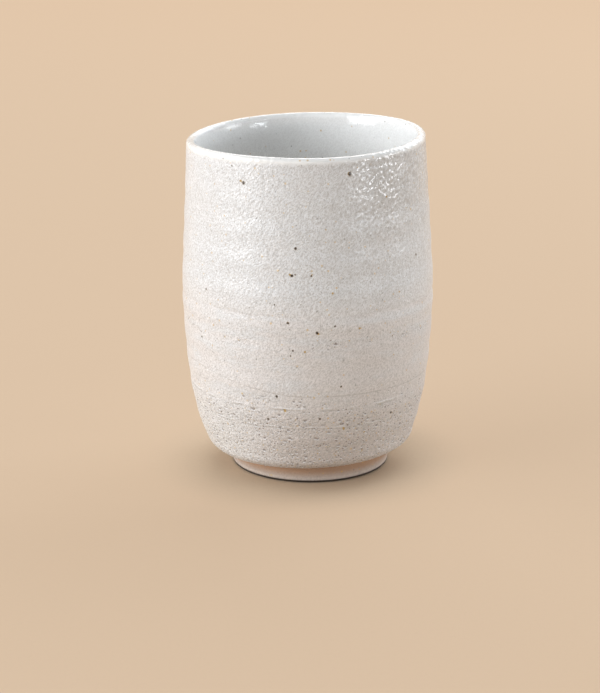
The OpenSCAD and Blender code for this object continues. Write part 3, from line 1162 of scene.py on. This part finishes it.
# Soft lights: name, angle round the cup and elevation in degrees, width and height in metres, power in
# watts, and colour
LIGHTS = (
    ("key", -70, 27, 1.5, 1.25, 10.5, (0.98, 1.0, 1.02)),
    ("window", -64, 9, 0.8, 0.55, 11.5, (0.98, 1.0, 1.02)),
    ("rim", -105, 30, 0.9, 1.2, 5.0, (1.0, 1.0, 1.0)),
    ("front", -10, 28, 1.0, 1.0, 2.3, (0.95, 1.0, 1.05)),
    ("side", 86, 9, 0.46, 0.5, 5.2, (0.97, 1.0, 1.03)),
    ("low", 53, 5.5, 0.5, 0.17, 3.8, (0.95, 1.0, 1.05)),
    ("fill", 130, 30, 0.9, 1.2, 10.0, (0.93, 1.0, 1.07)),
    ("back", 170, 35, 1.2, 1.0, 10.0, (1.0, 1.0, 0.98)),
)
ROOM_COLOUR = (0.9, 0.95, 1.0)
ROOM_STRENGTH = 0.2
FLOOR_RADIUS = 2.5
# The floor lies this far below the foot's ground face, so that the two don't flicker through each other
FLOOR_DROP = 0.05 * MM
# Radii over which the floor starts to glow, past the cup's shadow, and over which it comes to glow fully
GLOW_START = (24 * MM, 52 * MM)
GLOW_FULL = (0.4, 1.4)
GLOW_SHARE = 0.6


def area_light(name, azimuth, elevation, width, height, power, colour_value):
    """A soft light that looks at the cup."""
    turn = math.radians(azimuth)
    climb = math.radians(elevation)
    away = Vector((math.sin(turn) * math.cos(climb), -math.cos(turn) * math.cos(climb), math.sin(climb)))
    facing = away.to_track_quat("Z", "Y").to_euler()
    place = LIGHT_TARGET + away * LIGHT_DISTANCE
    bpy.ops.object.light_add(type="AREA", location=place, rotation=facing)
    light = bpy.context.object
    light.name = name
    light.data.name = name
    light.data.shape = "RECTANGLE"
    light.data.size = width
    light.data.size_y = height
    light.data.energy = power
    light.data.color = colour_value
    light.visible_camera = False


class TEACUP_OT_stage(Operator):
    """Set up the floor, the soft lights and the camera"""

    bl_idname = "teacup.stage"
    bl_label = "Stage"

    def execute(self, context):
        scene = context.scene
        self.lay_floor(scene)
        for light in LIGHTS:
            area_light(*light)
        scene.world = self.soft_room(scene)
        scene.view_settings.view_transform = "Standard"
        facing = (math.radians(90) - CAMERA_PITCH, 0, CAMERA_YAW)
        bpy.ops.object.camera_add(location=CAMERA_PLACE, rotation=facing)
        camera = context.object
        camera.data.lens = CAMERA_LENS
        camera.data.sensor_width = SENSOR_WIDTH
        scene.camera = camera
        return {"FINISHED"}

    def soft_room(self, scene):
        """A world that lights the cup softly and is seen as the backdrop."""
        world = bpy.data.worlds.new("Soft room")
        world.use_nodes = True
        world.node_tree.nodes.clear()
        start = Field(world.node_tree)
        light = {"Color": rgba(ROOM_COLOUR), "Strength": ROOM_STRENGTH}
        room = start.node("ShaderNodeBackground", None, light)
        wall = start.node("ShaderNodeBackground", None, {"Color": rgba(scene.tea_cup_colours.backdrop)})
        seen = start.node("ShaderNodeMixShader", None, {"Fac": self.in_view(start), 1: room, 2: wall})
        seen.node("ShaderNodeOutputWorld", None, {"Surface": seen}, None)
        return world

    def in_view(self, start):
        """1 for what is seen, straight, mirrored or through glass, and 0 for what lights the cup."""
        path = start.node("ShaderNodeLightPath", None, None, "Is Camera Ray")
        outputs = path.socket.node.outputs
        mirrored = Field(path.tree, outputs["Is Glossy Ray"])
        return path.most(mirrored).most(Field(path.tree, outputs["Is Transmission Ray"]))

    def lay_floor(self, scene):
        """A plain round floor, wide enough to fill every view of the cup from above."""
        deselect_everything()
        size = {"vertices": 96, "radius": FLOOR_RADIUS, "fill_type": "NGON"}
        bpy.ops.mesh.primitive_circle_add(location=(0, 0, -FLOOR_DROP), **size)
        floor = bpy.context.object
        floor.name = "floor"
        colours = scene.tea_cup_colours
        material, base, place = new_material("Plain paper", colours.floor)
        grain = place.position.noise(1.2 * MM, 3.0)
        base = base.tint(colours.floor, grain.rise(-0.1, 0.4) * 0.5, 0.9)
        paper = base.node("ShaderNodeBsdfPrincipled", None, {"Base Color": base, "Roughness": 0.9})
        glow = base.node("ShaderNodeEmission", None, {"Color": rgba(colours.backdrop)})
        share = place.r.rise(*GLOW_START) * GLOW_SHARE + place.r.rise(*GLOW_FULL) * (1 - GLOW_SHARE)
        share = self.in_view(base) * share
        seen = share.node("ShaderNodeMixShader", None, {"Fac": share, 1: paper, 2: glow})
        seen.node("ShaderNodeOutputMaterial", None, {"Surface": seen}, None)
        floor.data.materials.append(material)


class TEACUP_PT_sidebar(Panel):
    """The tea cup's tab in the 3D view's sidebar"""

    bl_label = "Tea Cup"
    bl_space_type = "VIEW_3D"
    bl_region_type = "UI"
    bl_category = "Tea Cup"

    def draw(self, context):
        scene = context.scene
        for operator in OPERATORS:
            self.layout.operator(operator.bl_idname)
        for heading, settings in SETTINGS.items():
            box = self.layout.box()
            box.label(text=settings.__doc__)
            for name in settings.__annotations__:
                box.prop(getattr(scene, heading), name)


OPERATORS = (
    TEACUP_OT_stage,
    TEACUP_OT_foot_ring,
    TEACUP_OT_clay_body,
    TEACUP_OT_first_coat,
    TEACUP_OT_second_coat,
    TEACUP_OT_liner,
)
SETTINGS = {
    "tea_cup_shape": TeaCupShape,
    "tea_cup_hand": TeaCupHand,
    "tea_cup_colours": TeaCupColours,
    "tea_cup_detail": TeaCupDetail,
}
CLASSES = (*SETTINGS.values(), *OPERATORS, TEACUP_PT_sidebar)


def register():
    for made in CLASSES:
        bpy.utils.register_class(made)
    for name, settings in SETTINGS.items():
        setattr(bpy.types.Scene, name, PointerProperty(type=settings))


def unregister():
    for name in SETTINGS:
        delattr(bpy.types.Scene, name)
    for made in reversed(CLASSES):
        bpy.utils.unregister_class(made)


def main():
    """Builds the stage and the cup."""
    register()
    bpy.ops.teacup.stage()
    bpy.ops.teacup.foot_ring()
    bpy.ops.teacup.clay_body()
    bpy.ops.teacup.first_coat()
    bpy.ops.teacup.second_coat()
    bpy.ops.teacup.liner()


if __name__ == "__main__":
    main()
